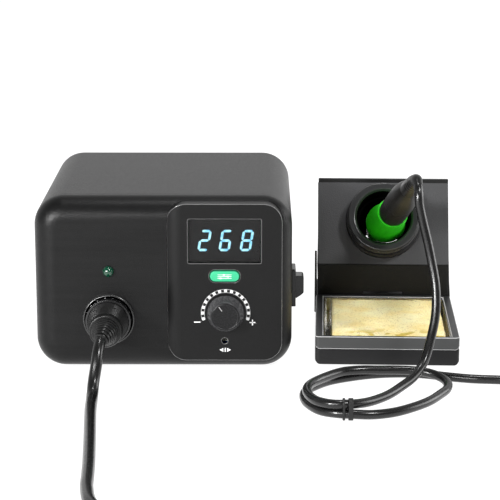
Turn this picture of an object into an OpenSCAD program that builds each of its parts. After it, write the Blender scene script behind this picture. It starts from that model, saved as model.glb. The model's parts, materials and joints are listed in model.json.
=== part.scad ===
// Soldering station: mains-powered control unit, iron stand with sponge tray,
// soldering iron and its lead. Millimetres, +Z up, +Y towards the back.
// Origin on the table under the middle of the control unit.

/* [Control unit] */
// Width of the housing
body_w = 138; // [134:1:142]
// Depth of the housing
body_d = 136; // [134:1:140]
// Height of the housing without its feet
body_h = 94; // [93:1:96]
// Height of the rubber feet
foot_h = 1.5; // [1:0.5:3]
// Radius of the long edges of the housing
edge_r = 16; // [14:1:18]
// Radius of the rounding round the front face
front_r = 12; // [10:1:12]
// Wall thickness of the housing
wall = 2.5; // [2:0.5:2.5]

/* [Control panel] */
// Width of the moulded control panel
panel_w = 61.2; // [60:0.2:61.4]
// Height of the moulded control panel
panel_h = 85.5; // [84:0.5:86]
// How far the panel stands proud of the front
panel_proud = 3.5; // [3:0.5:4]
// Width of the display window
window_w = 39; // [36:1:40]
// Height of the display window
window_h = 24; // [22:1:25]
// Number on the display
shown = 268; // [100:1:999]
// Diameter of the temperature knob
knob_d = 19.8; // [18:0.2:21]
// Height of the temperature knob
knob_h = 8; // [7:1:12]
// Travel of the set button
button_travel = 0.8; // [0.4:0.2:0.9]

/* [Stand] */
// Width of the stand's base
stand_w = 78.4; // [78:0.2:79]
// Turn of the stand on the table, degrees
stand_turn = -2; // [-4:1:-1]
// Lean of the holder plate from upright, degrees
plate_lean = 28; // [26:1:30]
// Outer diameter of the holder ring
collar_d = 42.4; // [41:0.2:43]
// How far the holder ring stands out of the plate
collar_h = 12; // [10:1:14]
// Length of the guard tube behind the plate
guard_l = 72; // [68:1:74]

/* [Iron] */
// Length of the handle behind the sleeve's flange
handle_l = 90; // [88:1:92]
// Diameter of the handle where the sleeve ends
handle_d = 15.9; // [15:0.1:16.4]
// Diameter of the sleeve's flange
flange_d = 23.3; // [22:0.1:23.4]
// Length of the tip ahead of the barrel
tip_l = 16; // [12:1:18]

/* [Lead] */
// Diameter of the iron's lead
cord_d = 4.8; // [4:0.1:4.8]
// Lead thickness at the plug end
cord_plug_d = 6.1; // [4.8:0.1:6.1]

/* [Hidden] */
$fn = 64;
SLOP = 0.01;          // overlap of joined shapes and of cutting tools
FIT = 0.05;           // radial running clearance of a shaft
GAP = 0.2;            // clearance between fixed moulded pieces

// housing
front_y = -body_d / 2;
back_y = body_d / 2;
body_z = foot_h + body_h / 2;
top_z = foot_h + body_h;
seam_y = front_y + 14;
split_z = 20;
POSTS = [[-54, -48], [54, -48], [-54, 56], [54, 56]];   // screw posts of the two main shells

// control panel
panel_x = 33;
panel_z = foot_h + 49.25;
panel_y = front_y - panel_proud;
panel_wall = 3;
panel_skirt = 2.2;
panel_r = 10;
panel_curve = 10.6;                   // rounding down the panel's left side
panel_fall = 7.5;                     // width of that rounding
pocket_back = front_y + 5.4;
window_z = 73.4;
board_y = -57;                        // back face of the control board
board_t = 1.6;
button = [16.2, 6.6];
button_z = 54.5;
knob_x = 33.5;
knob_z = 34.2;
cal_z = 18.8;
led = [-29, 56.2];
jack = [-29.1, 29.9];

// rocker switch, in the right wall
switch_y = -40;
switch_z = 41.7;
pivot_x = body_w / 2 + 0.5;

// mains inlet, in the rear panel
inlet_x = 30;
inlet_z = 42;
rear_y = back_y - 2.2;                // outer face of the rear panel
rear_t = 2.2;
PANEL_SCREW = [62.5, 60];             // screws of the rear panel, x on both sides and z

// mains side
xfmr = [-16.5, 24];
board = [38, 5];                      // middle of the power board
board_size = [46, 90];
board_z = 12;

// stand: its own origin is on the table under the front face of the riser
stand_at = [124.05, 32];
tray_len = 90;
base_h = 8.8;
base_top = foot_h + base_h;
rim_top = base_top + 7;
riser_top = 35.9;
plate_len = 50;
plate_t = 2;
plate_w = 76.6;
base_back = 66;
ring_s = 25.5;                          // middle of the ring, up the plate

// iron: its own +Z runs out of the handle, and z = 0 is at the sleeve's flange
iron_at = [125.8, 39.3, 59.3];
iron_rise = 24;
iron_swing = 4.7;

// routes of the lead, middle of the cord
BOOT = [[132.5, -42.6, 95.9], [133.3, -52, 100.1], [134, -60, 103.6], [134.3, -65.5, 105],
    [134.7, -70.6, 103.2], [135, -73.4, 99], [135.3, -74.4, 94]];
BOOT_R = [5, 4.8, 4.4, 4, 3.5, 3, 2.6];
DROP = [[135.38, -74.45, 93.5], [137.2, -75.4, 85.2], [139.6, -77.2, 75.5], [142, -80, 64],
    [144, -84, 51.5], [143.8, -88.4, 38.5], [141.2, -93, 26.5], [137.4, -99, 16],
    [131.5, -107.4, 10], [124, -117, 7.4]];
RUN = [[124, -117, 7.4], [117, -127, 6.4], [109, -136.5, 6.4], [102, -143.5, 7.2],
    [95, -147.8, 8.1], [87.5, -147.2, 8], [80.5, -141, 7.6], [76.6, -131, 7.4],
    [75.8, -120, 7.3], [78.6, -110, 7.2], [85.5, -98.8, 6.9], [95, -88.5, 6.8],
    [105, -84.4, 6.6], [115, -83.4, 6.3], [125, -83, 6.2], [134, -83.8, 6],
    [141.5, -86.4, 5.5], [147.2, -91.2, 4.6], [150, -98, 3.5], [149, -105, 2.6],
    [145, -113, 2.4], [138, -125, 2.4], [129, -135, 2.4], [119, -143, 2.4],
    [108, -147.8, 2.7], [98, -148.5, 3.2], [90, -146.8, 3.1], [82, -140.5, 2.5],
    [76.2, -129, 2.4], [74.4, -118, 2.4], [75.6, -108, 2.4], [80.4, -99.6, 2.4],
    [88.5, -90.2, 2.4], [100, -83.2, 2.4], [112, -78.4, 2.4], [125, -76.4, 2.4],
    [138, -77.6, 2.4], [152, -82.8, 2.4], [165, -86.6, 2.4], [180, -88.4, 2.4],
    [198, -92, 2.4], [214, -100, 2.4], [226, -113, 2.4], [233, -130, 2.4],
    [234, -150, 2.4], [230, -172, 2.4], [221, -194, 2.4], [208, -216, 2.4],
    [193, -238, 2.4], [175, -259, 2.4], [154, -277, 2.4], [130, -290, 2.4],
    [104, -298, 2.4], [77, -302, 2.4], [50, -303, 2.4], [24, -301.3, 2.6],
    [3, -296.5, 2.8], [-12.5, -286.5, 3.05], [-21.6, -272, 3.05], [-25.1, -254, 3.05],
    [-26.2, -237, 3.05], [-27.2, -220, 3.05], [-29.4, -190, 3.05], [-31.6, -162, 3.05],
    [-33.1, -142, 3.05], [-33.7, -129, 3.3], [-33.8, -122, 5.2], [-33.6, -117.2, 9.4],
    [-32.9, -114.4, 14.2], [-32.2, -112.4, 19], [-31.8, -110, 23], [-31.3, -107, 26],
    [-30.9, -103.4, 28.2], [-30.2, -100, 29.4]];
thick_from = 55;
TIE_AT = [95.4, -148.1, 5.6];

// ---------------------------------------------------------------- shapes

// Flat rectangle with round corners, centred
module round_rect(w, h, r) {
    square([w - 2 * r, h], center = true);
    square([w, h - 2 * r], center = true);
    for (x = [-1, 1], y = [-1, 1])
        translate([x * (w / 2 - r), y * (h / 2 - r)]) circle(r);
}

// Plate that faces the front, from y0 to y1, centred on x and z
module front_plate(w, h, r, y0, y1) {
    translate([0, y1, 0]) rotate([90, 0, 0]) linear_extrude(y1 - y0) round_rect(w, h, r);
}

// Box between two corners
module block(low, high) {
    translate(low) cube(high - low);
}

// Round bar along Y
module bar_y(r, y0, y1) {
    translate([0, y1, 0]) rotate([90, 0, 0]) cylinder(r = r, h = y1 - y0);
}

// Turned shape about the Y axis; profile points are [radius, distance forward]
module turned_y(profile) {
    rotate([90, 0, 0]) rotate_extrude() polygon(profile);
}

// Half section of a corner of the housing: flat front, rounded edge, straight wall
module corner_section(r_long, r_front, depth) {
    square([r_long - r_front, depth]);
    translate([0, r_front]) square([r_long, depth - r_front]);
    intersection() {
        translate([r_long - r_front, r_front]) circle(r_front);
        square([r_long, depth]);
    }
}

// Solid of the housing: front face at y = 0, rounded in every direction
module pillow(w, h, depth, r_long, r_front) {
    ax = w / 2 - r_long;
    az = h / 2 - r_long;
    for (x = [-1, 1], z = [-1, 1])
        translate([x * ax, 0, z * az]) rotate([-90, 0, 0]) rotate_extrude()
            corner_section(r_long, r_front, depth);
    for (side = [0, 1]) mirror([side, 0, 0])
        translate([ax, 0, -az]) linear_extrude(2 * az) corner_section(r_long, r_front, depth);
    for (side = [0, 1]) mirror([0, 0, side])
        translate([ax, 0, az]) rotate([0, -90, 0]) linear_extrude(2 * ax)
            corner_section(r_long, r_front, depth);
    block([-ax - SLOP, 0, -az - SLOP], [ax + SLOP, depth, az + SLOP]);
}

// Skin of the whole housing, open at the back
module casing() {
    translate([0, front_y, body_z]) difference() {
        pillow(body_w, body_h, body_d, edge_r, front_r);
        translate([0, wall, 0])
            pillow(body_w - 2 * wall, body_h - 2 * wall, body_d, edge_r - wall, front_r - wall);
    }
}

// Polyline helpers for the lead
function unit(v) = v / norm(v);
function heading(p, i) = unit(p[min(i + 1, len(p) - 1)] - p[max(i - 1, 0)]);
function across(n, t) = unit(n - (n * t) * t);
function sides_of(p, n0) = [for (i = 0, n = across(n0, heading(p, 0)); i < len(p);
    i = i + 1, n = i < len(p) ? across(n, heading(p, i)) : n) n];

// Tube swept along a route, one ring at each point, with a radius for each ring
module swept(route, radii, sides, first_side) {
    side = sides_of(route, first_side);
    points = [for (i = [0 : len(route) - 1], k = [0 : sides - 1])
        let (t = heading(route, i), a = 360 * k / sides)
        route[i] + radii[i] * (cos(a) * side[i] + sin(a) * cross(t, side[i]))];
    last = (len(route) - 1) * sides;
    faces = concat(
        [[for (k = [0 : sides - 1]) k]],
        [for (i = [0 : len(route) - 2], k = [0 : sides - 1])
            let (a = i * sides + k, b = i * sides + (k + 1) % sides) [a, a + sides, b + sides, b]],
        [[for (k = [sides - 1 : -1 : 0]) last + k]]);
    polyhedron(points, faces, convexity = 10);
}

// ---------------------------------------------------------------- housing

module front_shell() {
    color([0.18, 0.18, 0.19]) difference() {
        intersection() {
            casing();
            block([-body_w, front_y - 1, 0], [body_w, seam_y, top_z + 1]);
        }
        translate([panel_x, 0, panel_z])
            front_plate(panel_w + 2 * GAP, panel_h + 2 * GAP, panel_r + GAP, front_y - 9, pocket_back);
        translate([led.x, 0, led.y]) bar_y(3.05, front_y - 1, front_y + wall + 1);
        translate([jack.x, 0, jack.y]) bar_y(9.7, front_y - 1, front_y + wall + 1);
    }
}

module upper_shell() {
    color([0.2, 0.2, 0.2]) difference() {
        union() {
            intersection() {
                casing();
                block([-body_w, seam_y + GAP, split_z + GAP], [body_w, back_y, top_z + 1]);
            }
            for (p = POSTS) {
                translate([p.x, p.y, split_z + GAP]) cylinder(r = 4, h = 11);
                side = sign(p.x);
                translate([side * 61, p.y, split_z + GAP + 5.5]) cube([12, 2.4, 11], center = true);
            }
            for (x = [-1, 1]) translate([x * PANEL_SCREW.x, 0, PANEL_SCREW.y])
                bar_y(4.3, rear_y - rear_t - 12, rear_y - rear_t - GAP);
            rear_rib(split_z + GAP, top_z);
        }
        for (p = POSTS) translate([p.x, p.y, split_z - 1]) cylinder(r = 1.5, h = 10);
        for (x = [-1, 1]) translate([x * PANEL_SCREW.x, 0, PANEL_SCREW.y])
            bar_y(1.55, rear_y - rear_t - 10, rear_y);
        side_vents();
        translate([body_w / 2 - wall - 1, switch_y - 6.5, switch_z - 9.6]) cube([6, 13, 19.2]);
    }
}

// Rib that the rear panel rests against
module rear_rib(z0, z1) {
    intersection() {
        translate([0, 0, body_z]) difference() {
            front_plate(body_w - 2 * wall + SLOP, body_h - 2 * wall + SLOP, edge_r - wall,
                rear_y - rear_t - 2.2, rear_y - rear_t - GAP);
            front_plate(body_w - 2 * wall - 4, body_h - 2 * wall - 4, edge_r - wall - 2,
                rear_y - rear_t - 3, rear_y - rear_t);
        }
        block([-body_w, 0, z0], [body_w, back_y, z1]);
    }
}

// Fine louvres high in both side walls
module side_vents() {
    for (x = [-1, 1], k = [0 : 11])
        translate([x * body_w / 2, -34 + 6 * k, 68]) cube([4 * wall, 2.4, 16], center = true);
}

module lower_shell() {
    color([0.16, 0.16, 0.17]) difference() {
        union() {
            intersection() {
                casing();
                block([-body_w, seam_y + GAP, 0], [body_w, back_y, split_z]);
            }
            intersection() {
                for (p = POSTS) translate([p.x, p.y, foot_h]) cylinder(r = 4, h = split_z - foot_h);
                translate([0, front_y, body_z]) pillow(body_w - 1, body_h - 1, body_d, edge_r, front_r);
            }
            for (p = board_posts()) translate([p.x, p.y, foot_h + wall - 0.5])
                cylinder(r = 3, h = board_z - foot_h - wall + 0.5);
            rear_rib(foot_h + 1, split_z);
        }
        for (p = POSTS) {
            translate([p.x, p.y, -1]) cylinder(r = 1.7, h = split_z + 2);
            translate([p.x, p.y, -1]) cylinder(r = 3.2, h = 9);
        }
        for (p = board_posts()) translate([p.x, p.y, foot_h + wall + 0.5]) cylinder(r = 1.25, h = 20);
        for (x = bracket_holes()) translate([x, xfmr.y, foot_h - 1]) cylinder(r = 1.55, h = 9);
        for (k = [0 : 6]) translate([-38 + 6 * k, -24, 0]) cube([2.4, 20, 4 * wall], center = true);
    }
}

function board_posts() = [for (x = [-1, 1], y = [-1, 1])
    [board.x + x * (board_size.x / 2 - 4), board.y + y * (board_size.y / 2 - 4)]];
function bracket_holes() = [xfmr.x - 34.2, xfmr.x + 34.2];

module rear_panel() {
    color([0.14, 0.14, 0.15]) difference() {
        translate([0, 0, body_z]) front_plate(body_w - 2 * wall - 2 * GAP, body_h - 2 * wall - 2 * GAP,
            edge_r - wall - GAP, rear_y - rear_t, rear_y);
        translate([inlet_x, 0, inlet_z]) front_plate(27.6, 20.2, 0.4, 0, back_y);
        for (k = [0 : 8]) translate([-50 + 6 * k, rear_y, 62]) cube([2.4, 20, 30], center = true);
        for (x = [-1, 1]) translate([x * PANEL_SCREW.x, 0, PANEL_SCREW.y])
            bar_y(1.7, rear_y - rear_t - 1, rear_y + 1);
    }
}

module station_feet() {
    color([0.05, 0.05, 0.05]) for (p = [[0, 0], [-44, -44], [44, -44], [-44, 44], [44, 44]])
        translate([p.x, p.y, 0]) cylinder(r = 6, h = foot_h);
}

// Pan-head screw along +Z: z = 0 under the head
module screw(shank_r, shank_l, head_r, head_h) {
    translate([0, 0, -SLOP]) cylinder(r = shank_r, h = shank_l + SLOP);
    difference() {
        translate([0, 0, -head_h]) cylinder(r = head_r, h = head_h);
        for (turn = [0, 90]) rotate(turn)
            translate([0, 0, -head_h]) cube([head_r * 1.2, head_r * 0.3, head_h], center = true);
    }
}

module shell_screws() {
    color([0.6, 0.6, 0.62]) {
        for (p = POSTS) translate([p.x, p.y, 8 - SLOP]) screw(1.45, 19, 2.9, 1.8);
        for (x = bracket_holes()) translate([x, xfmr.y, foot_h + wall + 2])
            rotate([180, 0, 0]) screw(1.5, 4, 2.9, 1.6);
        for (x = [-1, 1]) translate([x * PANEL_SCREW.x, rear_y, PANEL_SCREW.y]) rotate([90, 0, 0])
            screw(1.5, 10, 2.9, 1.6);
    }
}

// ---------------------------------------------------------------- panel

// Plan section of the panel: its left side falls away in a broad curve
module panel_section() {
    left = panel_x - panel_w / 2;
    right = panel_x + panel_w / 2;
    translate([left + panel_fall, panel_y]) square([right - left - panel_fall, 9]);
    intersection() {
        translate([left + panel_fall, panel_y + panel_curve]) circle(panel_curve);
        translate([left, panel_y]) square([panel_fall + SLOP, 9]);
    }
}

module control_panel() {
    inner_w = panel_w - 2 * panel_skirt;
    inner_h = panel_h - 2 * panel_skirt;
    color([0.19, 0.19, 0.2]) difference() {
        union() {
            difference() {
                intersection() {
                    translate([0, 0, panel_z - panel_h]) linear_extrude(2 * panel_h) panel_section();
                    translate([panel_x, 0, panel_z])
                        front_plate(panel_w, panel_h, panel_r, panel_y - 1, pocket_back - GAP);
                }
                translate([panel_x + 2, 0, panel_z]) front_plate(inner_w - 4, inner_h,
                    panel_r - panel_skirt, panel_y + panel_wall, pocket_back + 2);
            }
            for (p = panel_posts()) translate([p.x, 0, p.y])
                bar_y(2.2, panel_y + panel_wall - 1, board_y - board_t);
        }
        translate([panel_x, 0, window_z]) front_plate(window_w, window_h, 0.8, panel_y - 1, board_y - 2);
        translate([panel_x, 0, button_z])
            front_plate(button.x + 0.4, button.y + 0.4, button.y / 2, panel_y - 1, front_y + 1);
        translate([knob_x, 0, knob_z]) bar_y(3.6, panel_y - 1, front_y + 1);
        translate([panel_x, 0, cal_z]) bar_y(1.7, panel_y - 1, front_y + 1);
        for (p = panel_posts()) translate([p.x, 0, p.y]) bar_y(1.15, front_y + 1.5, board_y + 1);
    }
}

function panel_posts() = [for (x = [11.1, 56.5], z = [-1, 1]) [x, panel_z + z * 33.5]];

module display_lens() {
    color([0.05, 0.07, 0.08]) translate([panel_x, 0, window_z])
        front_plate(window_w - 0.2, window_h - 0.2, 0.7, panel_y + 0.5, panel_y + 1.9);
}

module display_module() {
    color([0.03, 0.03, 0.03]) translate([panel_x, 0, window_z])
        front_plate(window_w - 0.8, window_h - 0.8, 0.5, panel_y + 2.4, board_y - board_t);
}

// Seven-segment digit: which bars are lit for 0 to 9 (a, b, c, d, e, f, g)
LIT = ["1111110", "0110000", "1101101", "1111001", "0110011",
    "1011011", "1011111", "1110000", "1111111", "1111011"];
digit_h = 11.6;
digit_w = 6;
bar = 1.3;

module segment(length) {
    polygon([[-length / 2, 0], [-length / 2 + bar / 2, bar / 2], [length / 2 - bar / 2, bar / 2],
        [length / 2, 0], [length / 2 - bar / 2, -bar / 2], [-length / 2 + bar / 2, -bar / 2]]);
}

module digit(value) {
    half = (digit_h - bar) / 2;
    side = (digit_w - bar) / 2;
    places = [[0, 2 * half, 0], [side, 1.5 * half, 90], [side, 0.5 * half, 90], [0, 0, 0],
        [-side, 0.5 * half, 90], [-side, 1.5 * half, 90], [0, half, 0]];
    for (k = [0 : 6]) if (LIT[value][k] == "1")
        translate([places[k].x, places[k].y - half]) rotate(places[k].z)
            segment(places[k].z == 0 ? digit_w - bar - 0.3 : half - 0.3);
}

module display_segments() {
    values = [floor(shown / 100), floor(shown / 10) % 10, shown % 10];
    color([0.6, 0.9, 1]) translate([panel_x, panel_y + 2.4, window_z]) rotate([90, 0, 0])
        linear_extrude(0.35)
            for (k = [0 : 2]) translate([(k - 1) * 11.2 + 0.6, 0])
                multmatrix([[1, 0.17, 0], [0, 1, 0], [0, 0, 1]]) digit(values[k]);
}

module control_board() {
    color([0.1, 0.3, 0.15]) difference() {
        translate([panel_x + 1, 0, panel_z]) front_plate(52, 75, 2, board_y - board_t + SLOP, board_y);
        for (p = panel_posts()) translate([p.x, 0, p.y]) bar_y(1.3, board_y - 9, board_y + 1);
    }
}

module board_screws() {
    color([0.6, 0.6, 0.62]) {
        for (p = panel_posts()) translate([p.x, board_y, p.y]) rotate([90, 0, 0]) screw(1.1, 7, 2, 1.3);
        for (p = board_posts()) translate([p.x, p.y, board_z + board_t]) rotate([180, 0, 0])
            screw(1.2, 7, 2.2, 1.3);
    }
}

module set_button() {
    color([0.25, 0.8, 0.55]) translate([panel_x, 0, button_z]) {
        front_plate(button.x, button.y, button.y / 2 - SLOP, panel_y - 1, panel_y + 3.6);
        front_plate(button.x + 2.4, button.y + 2.4, button.y / 2 + 1, panel_y + 3.4, panel_y + 4.4);
        bar_y(2, panel_y + 4, panel_y + 8.5);
    }
}

module switch_plunger() {
    color([0.1, 0.1, 0.1]) translate([panel_x, 0, button_z])
        bar_y(1.75, panel_y + 8.5, panel_y + 11.9 - button_travel);
}

module set_switch() {
    color([0.75, 0.75, 0.75]) translate([panel_x, 0, button_z]) difference() {
        front_plate(6, 6, 0.5, panel_y + 9.5, board_y - board_t);
        bar_y(1.75 + FIT, panel_y + 9, panel_y + 12);
    }
}

module temp_knob() {
    r = knob_d / 2;
    face = panel_y - 0.5;
    color([0.15, 0.15, 0.16]) translate([knob_x, face, knob_z]) difference() {
        turned_y([[0, 0], [r - 0.4, 0], [r, 0.4], [r, 1.2], [r - 1.4, knob_h - 2],
            [r - 1.9, knob_h - 0.9], [r - 2.7, knob_h - 0.2], [r - 3.3, knob_h], [0, knob_h]]);
        bar_y(3 + SLOP, -knob_h + 1.6, 1);
        rotate([0, -36, 0]) translate([-0.35, -knob_h - 1, 4]) cube([0.7, 1.4, 3]);
    }
}

module knob_shaft() {
    color([0.7, 0.7, 0.7]) translate([knob_x, 0, knob_z])
        bar_y(3, panel_y - knob_h + 1.2, panel_y + 8);
}

module potentiometer() {
    color([0.45, 0.45, 0.5]) translate([knob_x, 0, knob_z]) difference() {
        union() {
            bar_y(8.2, panel_y + 5, board_y - board_t);
            bar_y(3.4, panel_y + 0.8, panel_y + 5.2);
        }
        bar_y(3 + FIT, panel_y, panel_y + 8.5);
    }
}

module cal_trimmer() {
    color([0.1, 0.3, 0.6]) translate([panel_x, 0, cal_z]) difference() {
        front_plate(7, 7, 0.6, panel_y + 7.6, board_y - board_t);
        bar_y(2.2 + FIT, panel_y + 7, panel_y + 9.5);
    }
}

module cal_rotor() {
    color([0.9, 0.9, 0.85]) translate([panel_x, 0, cal_z]) difference() {
        bar_y(2.2, panel_y + 6.6, panel_y + 9.3);
        translate([0, panel_y + 6.6, 0]) cube([3.2, 1.2, 0.6], center = true);
    }
}

module led_lens() {
    color([0.05, 0.3, 0.2]) translate([led.x, 0, led.y]) {
        bar_y(2.95, front_y - 0.4, front_y + 7);
        translate([0, front_y - 0.4, 0]) sphere(2.95);
        bar_y(3.6, front_y + 4.8, front_y + 5.8);
    }
}

module led_holder() {
    color([0.08, 0.08, 0.08]) translate([led.x, 0, led.y]) difference() {
        bar_y(5, front_y + wall, front_y + 9);
        bar_y(3.1, front_y + wall - 1, front_y + 4.7);
        bar_y(3.7, front_y + 4.6, front_y + 10);
    }
}

// ---------------------------------------------------------------- connector

module at_jack() { translate([jack.x, front_y, jack.y]) children(); }

module socket_ring() {
    color([0.3, 0.3, 0.3]) at_jack() difference() {
        turned_y([[9.75, 0], [14, 0], [14, 1.2], [13.4, 1.9], [12.8, 1.9], [12.4, 1], [9.75, 1]]);
    }
}

PIN_AT = [for (k = [0 : 4]) [5 * cos(90 + 72 * k), 5 * sin(90 + 72 * k)]];

module socket_shell() {
    color([0.5, 0.5, 0.52]) at_jack() difference() {
        union() {
            bar_y(9.55, -5, wall + 10);
            bar_y(13, wall + GAP, wall + 3);
        }
        for (p = PIN_AT) translate([p.x, 0, p.y]) bar_y(0.85, -6, 8);
    }
}

module plug_ring() {
    color([0.16, 0.16, 0.16]) at_jack() difference() {
        bar_y(12.1, -6.5, -1.3);
        bar_y(10.95, -7, 0);
        for (k = [0 : 17]) rotate([0, 20 * k, 0]) translate([12.5, 0, 0]) bar_y(0.7, -6, -2);
    }
}

module plug_body() {
    color([0.1, 0.1, 0.1]) at_jack() {
        turned_y([[9.8, 1.6], [10.85, 1.6], [10.85, 5.5], [8.6, 23.4], [8.4, 24.4], [7.8, 25],
            [0, 25], [0, 5.4], [9.8, 5.4]]);
        for (p = PIN_AT) translate([p.x, 0, p.y]) bar_y(0.75, -6, 7);
    }
}

module plug_boot() {
    color([0.08, 0.08, 0.08]) at_jack() turned_y([[0, 25], [7.7, 25], [7.6, 26.2], [7.1, 26.6],
        [7.2, 27.8], [6.9, 28.4], [6.4, 28.6], [6.6, 29.8], [6.2, 30.4], [5.7, 30.6], [5.8, 31.8],
        [5.2, 32.6], [4.2, 34.2], [3.2, 35.4], [0, 35.4]]);
}

// ---------------------------------------------------------------- rocker switch

module at_switch() { translate([0, switch_y, switch_z]) children(); }

module switch_housing() {
    wall_x = body_w / 2;
    color([0.07, 0.07, 0.07]) at_switch() difference() {
        union() {
            translate([wall_x, 0, 0]) rotate([90, 0, 90]) linear_extrude(2.3) round_rect(15, 21, 1);
            block([wall_x - 17, -6.3, -9.4], [wall_x + 1, 6.3, 9.4]);
        }
        block([wall_x - 8, -5.4, -8.3], [wall_x + 5, 5.4, 8.3]);
        translate([pivot_x, 0, 0]) bar_y(1.2 + FIT, -6, 6);
    }
}

module switch_rocker() {
    color([0.09, 0.09, 0.09]) at_switch() translate([pivot_x, 0, 0]) {
        translate([0, 5.2, 0]) rotate([90, 0, 0]) linear_extrude(10.4)
            polygon([[-1.6, -6.5], [1.2, -6.5], [2.6, -6], [4.6, -4.6], [6.2, -3.2], [6.2, 5.5],
                [5.4, 6.3], [-1.6, 6.3]]);
        bar_y(1.2, -5.9, 5.9);
    }
}

module switch_terminals() {
    color([0.8, 0.75, 0.6]) at_switch() for (z = [-6, 0, 6])
        block([body_w / 2 - 25, -3.1, z - 0.4], [body_w / 2 - 17, 3.1, z + 0.4]);
}

// ---------------------------------------------------------------- mains side

// Outline of an appliance inlet, two corners cut off
module inlet_outline(w, h, cut) {
    polygon([[-w / 2, -h / 2], [w / 2, -h / 2], [w / 2, h / 2 - cut], [w / 2 - cut, h / 2],
        [cut - w / 2, h / 2], [-w / 2, h / 2 - cut]]);
}

module mains_inlet() {
    color([0.06, 0.06, 0.06]) translate([inlet_x, 0, inlet_z]) difference() {
        union() {
            front_plate(30.6, 23.4, 2.5, rear_y, rear_y + 1.8);
            translate([0, rear_y + SLOP, 0]) rotate([90, 0, 0]) linear_extrude(23)
                inlet_outline(27.2, 19.8, 4);
        }
        translate([0, rear_y + 3, 0]) rotate([90, 0, 0]) linear_extrude(20) inlet_outline(24, 16.4, 4);
        for (p = BLADES) translate([p.x, 0, p.y]) block([-1.05, rear_y - 26, -2.05], [1.05, rear_y, 2.05]);
    }
}

BLADES = [[-7, -2], [7, -2], [0, 2]];

module inlet_pins() {
    color([0.8, 0.8, 0.8]) translate([inlet_x, 0, inlet_z]) for (p = BLADES)
        translate([p.x, 0, p.y]) block([-1, rear_y - 30, -2], [1, rear_y - 1, 2]);
}

module transformer_core() {
    color([0.35, 0.35, 0.38]) translate([xfmr.x, xfmr.y, 0]) difference() {
        block([-31, -13, foot_h + wall + 2], [31, 13, 58]);
        for (x = [-1, 1]) translate([x * 15.5, 0, 32]) cube([11, 30, 32], center = true);
    }
}

module transformer_winding() {
    color([0.7, 0.35, 0.15]) translate([xfmr.x, xfmr.y, 16.3]) linear_extrude(31.4) difference() {
        round_rect(41.4, 46, 6);
        square([20.4, 26.4], center = true);
    }
}

module transformer_bracket() {
    z = foot_h + wall;
    color([0.7, 0.7, 0.72]) translate([xfmr.x, xfmr.y, 0]) difference() {
        block([-36.8, -13, z + SLOP], [36.8, 13, z + 2]);
        for (x = [-34.2, 34.2]) translate([x, 0, z - 1]) cylinder(r = 1.7, h = 5);
    }
}

module power_board() {
    color([0.15, 0.35, 0.15]) difference() {
        translate([board.x, board.y, board_z + SLOP]) linear_extrude(board_t - SLOP)
            round_rect(board_size.x, board_size.y, 2);
        for (p = board_posts()) translate([p.x, p.y, board_z - 1]) cylinder(r = 1.4, h = 9);
    }
}

module board_parts() {
    z = board_z + board_t;
    color([0.2, 0.2, 0.3]) {
        for (y = [-22, -8]) translate([24, y, z]) cylinder(r = 5, h = 16);
        block([40, 12, z], [56, 24, z + 12]);
        block([18, 10, z], [28, 30, z + 10]);
        for (y = [29, 45]) block([35, y, z], [41, y + 3, z + 3]);
        block([42, -21, z], [52, -17.2, z + 15]);
    }
}

module heatsink() {
    z = board_z + board_t;
    color([0.75, 0.75, 0.77]) {
        block([36, -17, z], [58, -14.5, z + 24]);
        for (k = [0 : 5]) block([36 + 4 * k, -14.5 - SLOP, z], [37.4 + 4 * k, -7, z + 24]);
    }
}

module fuse() {
    color([0.85, 0.9, 0.9]) translate([38, 0, board_z + board_t + 5.7]) bar_y(2.6, 28, 49);
}

module ribbon_cable() {
    z = board_z + board_t;
    color([0.6, 0.6, 0.6]) {
        block([24, board_y + SLOP, z + 2], [44, -38, z + 3]);
        block([24, -39, z + SLOP], [44, -38, z + 3]);
    }
}

// ---------------------------------------------------------------- stand

module at_stand() { translate([stand_at.x, stand_at.y, 0]) rotate([0, 0, stand_turn]) children(); }

// Long block whose two lower edges are rounded, for cutting a front view
module round_bottom(w, z0, z1, r) {
    translate([0, base_back + 1, (z0 + z1) / 2]) rotate([90, 0, 0])
        linear_extrude(base_back + tray_len + 10) {
            translate([0, r / 2]) square([w, z1 - z0 - r], center = true);
            square([w - 2 * r, z1 - z0], center = true);
            for (x = [-1, 1]) translate([x * (w / 2 - r), (z0 - z1) / 2 + r]) circle(r);
        }
}

module stand_base() {
    w = stand_w;
    color([0.1, 0.1, 0.1]) at_stand() {
        difference() {
            intersection() {
                translate([0, (base_back - tray_len - 0.6) / 2, foot_h])
                    linear_extrude(base_h) round_rect(w, base_back + tray_len + 0.6, 2.5);
                round_bottom(w, foot_h, base_top + 5, 3);
            }
            block([3 - w / 2, 0.5 - tray_len, foot_h + 2], [w / 2 - 3, -2, base_top + 1]);
            block([3 - w / 2, 3, foot_h - 1], [w / 2 - 3, base_back - 2.5, base_top - 2]);
            for (x = [-28, 28]) translate([x, 10, 0]) cylinder(r = 1.6, h = 20);
        }
        translate([-w / 2 - 0.9, 0, 0]) rotate([90, 0, 90]) linear_extrude(1.2)
            polygon([[-0.2, base_top - 4], [-0.2, 43], [1.4, 43.4], [6, 41], [58, base_top + 1.4],
                [58, base_top - 4]]);
        translate([plate_w / 2 + 0.1, 0, 0]) rotate([90, 0, 90]) linear_extrude(1)
            polygon([[-0.3, base_top - 4], [-0.3, rim_top], [8.6, 23.5], [16, 34], [20, 34.6],
                [58, base_top + 1.4], [58, base_top - 4]]);
    }
}

module stand_feet() {
    color([0.04, 0.04, 0.04]) at_stand() for (x = [-30, 30], y = [-80, 56])
        translate([x, y, 0]) cylinder(r = 4.5, h = foot_h);
}

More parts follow.
